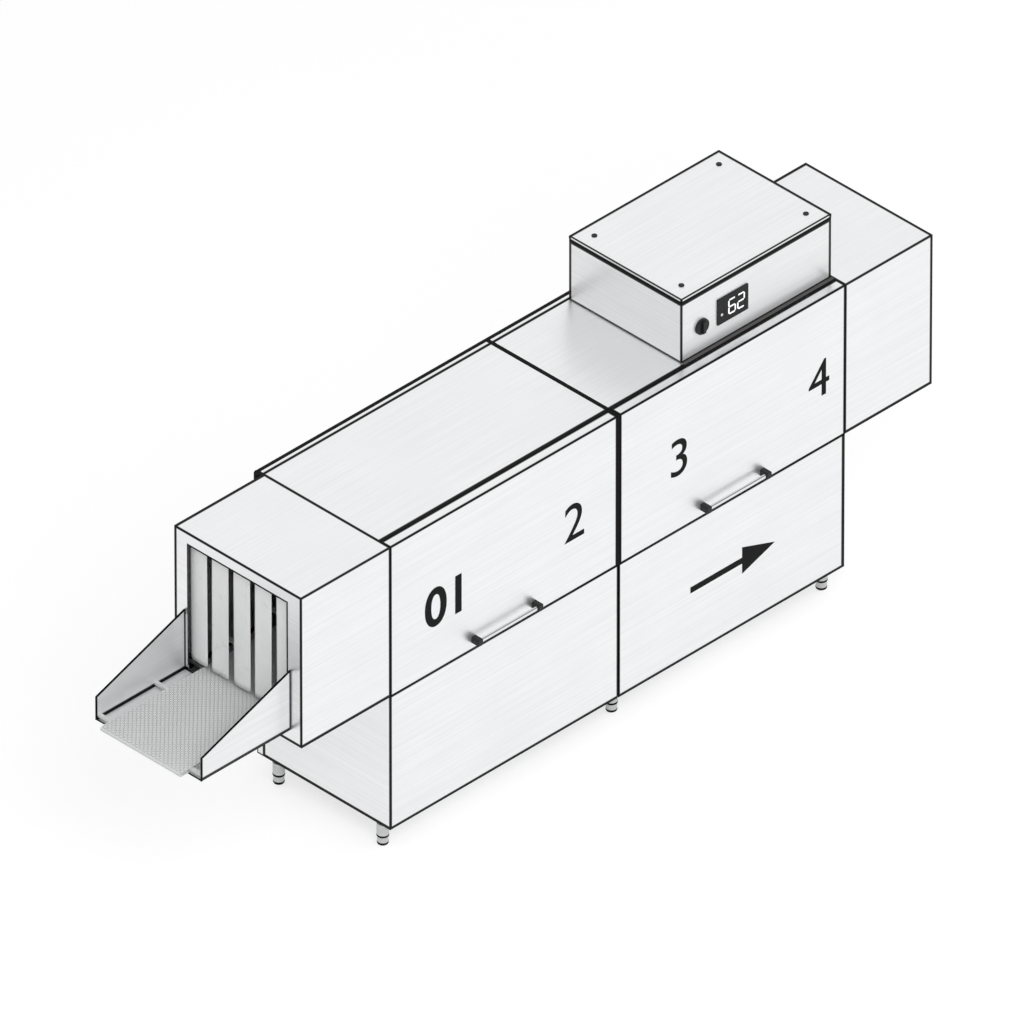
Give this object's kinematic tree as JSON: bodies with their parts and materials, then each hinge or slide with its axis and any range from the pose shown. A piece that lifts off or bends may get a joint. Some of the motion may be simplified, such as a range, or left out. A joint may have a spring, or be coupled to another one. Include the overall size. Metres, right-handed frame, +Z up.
{
  "type": "crate washing machine",
  "caption": "Tunnel crate washer with strip curtains, lifting doors, a belt through wash and rinse modules and a control box on the roof.",
  "frame": {"origin": "on the floor at the centre of the outer box", "axes": "+X travel direction from infeed to outfeed, doors face -Y, +Z up"},
  "size_m": [4.547, 0.88, 1.983],
  "materials": {
    "stainless": "satin brushed stainless sheet",
    "frame_steel": "plain stainless tube and pipe",
    "polished_steel": "ground and polished stainless",
    "black_rubber": "black sealing rubber",
    "black_plastic": "moulded black plastic",
    "black_paint": "black enamel",
    "grey_paint": "blue-grey machine enamel",
    "red_plastic": "red dipped plastic",
    "belt_plastic": "white modular belt",
    "bed_plastic": "white wear plastic on steel",
    "strip_pvc": "clear soft strip, slightly milky",
    "display_black": "black display window",
    "key_white": "white key cap",
    "foot_steel": "turned stainless foot"
  },
  "bodies": {
    "machine": {"lower_panel_1": "stainless", "lower_panel_2": "stainless", "rear_covers": "stainless", "end_panels": "stainless", "roof_panels": "stainless", "infeed_hood": "stainless", "outfeed_hood": "stainless", "infeed_chute": "stainless", "control_box": "stainless", "control_lid": "stainless", "base_frames": "frame_steel", "upper_frames": "frame_steel", "door_rails": "frame_steel", "wash_tanks": "frame_steel", "strainer_trays": "frame_steel", "spray_pipes_1": "frame_steel", "spray_pipes_2": "frame_steel", "guide_bars": "frame_steel", "curtain_rods": "frame_steel", "drain_valves": "frame_steel", "heaters": "frame_steel", "module_gasket": "black_rubber", "lid_seal": "black_rubber", "lid_screws": "black_plastic", "shaft_bearings": "black_plastic", "gas_cylinders": "black_paint", "pumps": "grey_paint", "gearmotor": "grey_paint", "conveyor_belt": "belt_plastic", "belt_bed": "bed_plastic", "display_panel": "display_black", "feet": "foot_steel"},
    "lift_door_1": {"door_1": "stainless", "handle_bar_1": "polished_steel", "handle_posts_1": "black_plastic", "guide_shoes_1": "black_plastic", "gas_rods_1": "polished_steel"},
    "lift_door_2": {"door_2": "stainless", "handle_bar_2": "polished_steel", "handle_posts_2": "black_plastic", "guide_shoes_2": "black_plastic", "gas_rods_2": "polished_steel"},
    "infeed_strip_1_body": {"infeed_strip_1": "strip_pvc"},
    "infeed_strip_2_body": {"infeed_strip_2": "strip_pvc"},
    "infeed_strip_3_body": {"infeed_strip_3": "strip_pvc"},
    "infeed_strip_4_body": {"infeed_strip_4": "strip_pvc"},
    "infeed_strip_5_body": {"infeed_strip_5": "strip_pvc"},
    "outfeed_strip_1_body": {"outfeed_strip_1": "strip_pvc"},
    "outfeed_strip_2_body": {"outfeed_strip_2": "strip_pvc"},
    "outfeed_strip_3_body": {"outfeed_strip_3": "strip_pvc"},
    "outfeed_strip_4_body": {"outfeed_strip_4": "strip_pvc"},
    "outfeed_strip_5_body": {"outfeed_strip_5": "strip_pvc"},
    "drive_shaft_body": {"drive_shaft": "frame_steel"},
    "snub_roller_body": {"snub_roller": "frame_steel"},
    "impeller_1_body": {"impeller_1": "polished_steel"},
    "impeller_2_body": {"impeller_2": "polished_steel"},
    "drain_lever_1_body": {"drain_lever_1": "red_plastic"},
    "drain_lever_2_body": {"drain_lever_2": "red_plastic"},
    "switch_body": {"switch_knob": "black_plastic"},
    "start_key_body": {"start_key": "key_white"}
  },
  "joints": [
    {"name": "door_1_lift", "type": "slide", "parent": "machine", "child": "lift_door_1", "axis": [0, 0, 1], "range_m": [0, 0.55]},
    {"name": "door_2_lift", "type": "slide", "parent": "machine", "child": "lift_door_2", "axis": [0, 0, 1], "range_m": [0, 0.55]},
    {"name": "infeed_strip_1_swing", "type": "hinge", "parent": "machine", "child": "infeed_strip_1_body", "pos_m": [-1.6395, -0.268, 1.6], "axis": [0, -1, 0], "range_deg": [0, 50]},
    {"name": "infeed_strip_2_swing", "type": "hinge", "parent": "machine", "child": "infeed_strip_2_body", "pos_m": [-1.6395, -0.134, 1.6], "axis": [0, -1, 0], "range_deg": [0, 50]},
    {"name": "infeed_strip_3_swing", "type": "hinge", "parent": "machine", "child": "infeed_strip_3_body", "pos_m": [-1.6395, 0, 1.6], "axis": [0, -1, 0], "range_deg": [0, 50]},
    {"name": "infeed_strip_4_swing", "type": "hinge", "parent": "machine", "child": "infeed_strip_4_body", "pos_m": [-1.6395, 0.134, 1.6], "axis": [0, -1, 0], "range_deg": [0, 50]},
    {"name": "infeed_strip_5_swing", "type": "hinge", "parent": "machine", "child": "infeed_strip_5_body", "pos_m": [-1.6395, 0.268, 1.6], "axis": [0, -1, 0], "range_deg": [0, 50]},
    {"name": "outfeed_strip_1_swing", "type": "hinge", "parent": "machine", "child": "outfeed_strip_1_body", "pos_m": [2.2465, -0.24, 1.5589], "axis": [0, -1, 0], "range_deg": [0, 60]},
    {"name": "outfeed_strip_2_swing", "type": "hinge", "parent": "machine", "child": "outfeed_strip_2_body", "pos_m": [2.2465, -0.12, 1.5589], "axis": [0, -1, 0], "range_deg": [0, 60]},
    {"name": "outfeed_strip_3_swing", "type": "hinge", "parent": "machine", "child": "outfeed_strip_3_body", "pos_m": [2.2465, 0, 1.5589], "axis": [0, -1, 0], "range_deg": [0, 60]},
    {"name": "outfeed_strip_4_swing", "type": "hinge", "parent": "machine", "child": "outfeed_strip_4_body", "pos_m": [2.2465, 0.12, 1.5589], "axis": [0, -1, 0], "range_deg": [0, 60]},
    {"name": "outfeed_strip_5_swing", "type": "hinge", "parent": "machine", "child": "outfeed_strip_5_body", "pos_m": [2.2465, 0.24, 1.5589], "axis": [0, -1, 0], "range_deg": [0, 60]},
    {"name": "drive_turn", "type": "hinge", "parent": "machine", "child": "drive_shaft_body", "pos_m": [2.1435, 0, 0.8877], "axis": [0, 1, 0], "continuous": true},
    {"name": "snub_turn", "type": "hinge", "parent": "machine", "child": "snub_roller_body", "pos_m": [-1.6005, 0, 0.8937], "axis": [0, 1, 0], "continuous": true},
    {"name": "impeller_1_turn", "type": "hinge", "parent": "machine", "child": "impeller_1_body", "pos_m": [-0.5295, 0.261, 0.284], "axis": [1, 0, 0], "continuous": true},
    {"name": "impeller_2_turn", "type": "hinge", "parent": "machine", "child": "impeller_2_body", "pos_m": [0.8965, 0.261, 0.284], "axis": [1, 0, 0], "continuous": true},
    {"name": "drain_lever_1_turn", "type": "hinge", "parent": "machine", "child": "drain_lever_1_body", "pos_m": [0.0105, -0.215, 0.386], "axis": [0, 0, -1], "range_deg": [0, 90]},
    {"name": "drain_lever_2_turn", "type": "hinge", "parent": "machine", "child": "drain_lever_2_body", "pos_m": [1.4365, -0.215, 0.386], "axis": [0, 0, -1], "range_deg": [0, 90]},
    {"name": "main_switch_turn", "type": "hinge", "parent": "machine", "child": "switch_body", "pos_m": [0.9085, -0.306, 1.778], "axis": [0, 1, 0], "range_deg": [0, 90]},
    {"name": "start_key_press", "type": "slide", "parent": "machine", "child": "start_key_body", "axis": [0, 1, 0], "range_m": [0, 0.0015], "stiffness_N_per_m": 600}
  ],
  "couplings": [
    {"joint": "snub_turn", "follows": "drive_turn", "ratio": -2.6}
  ]
}
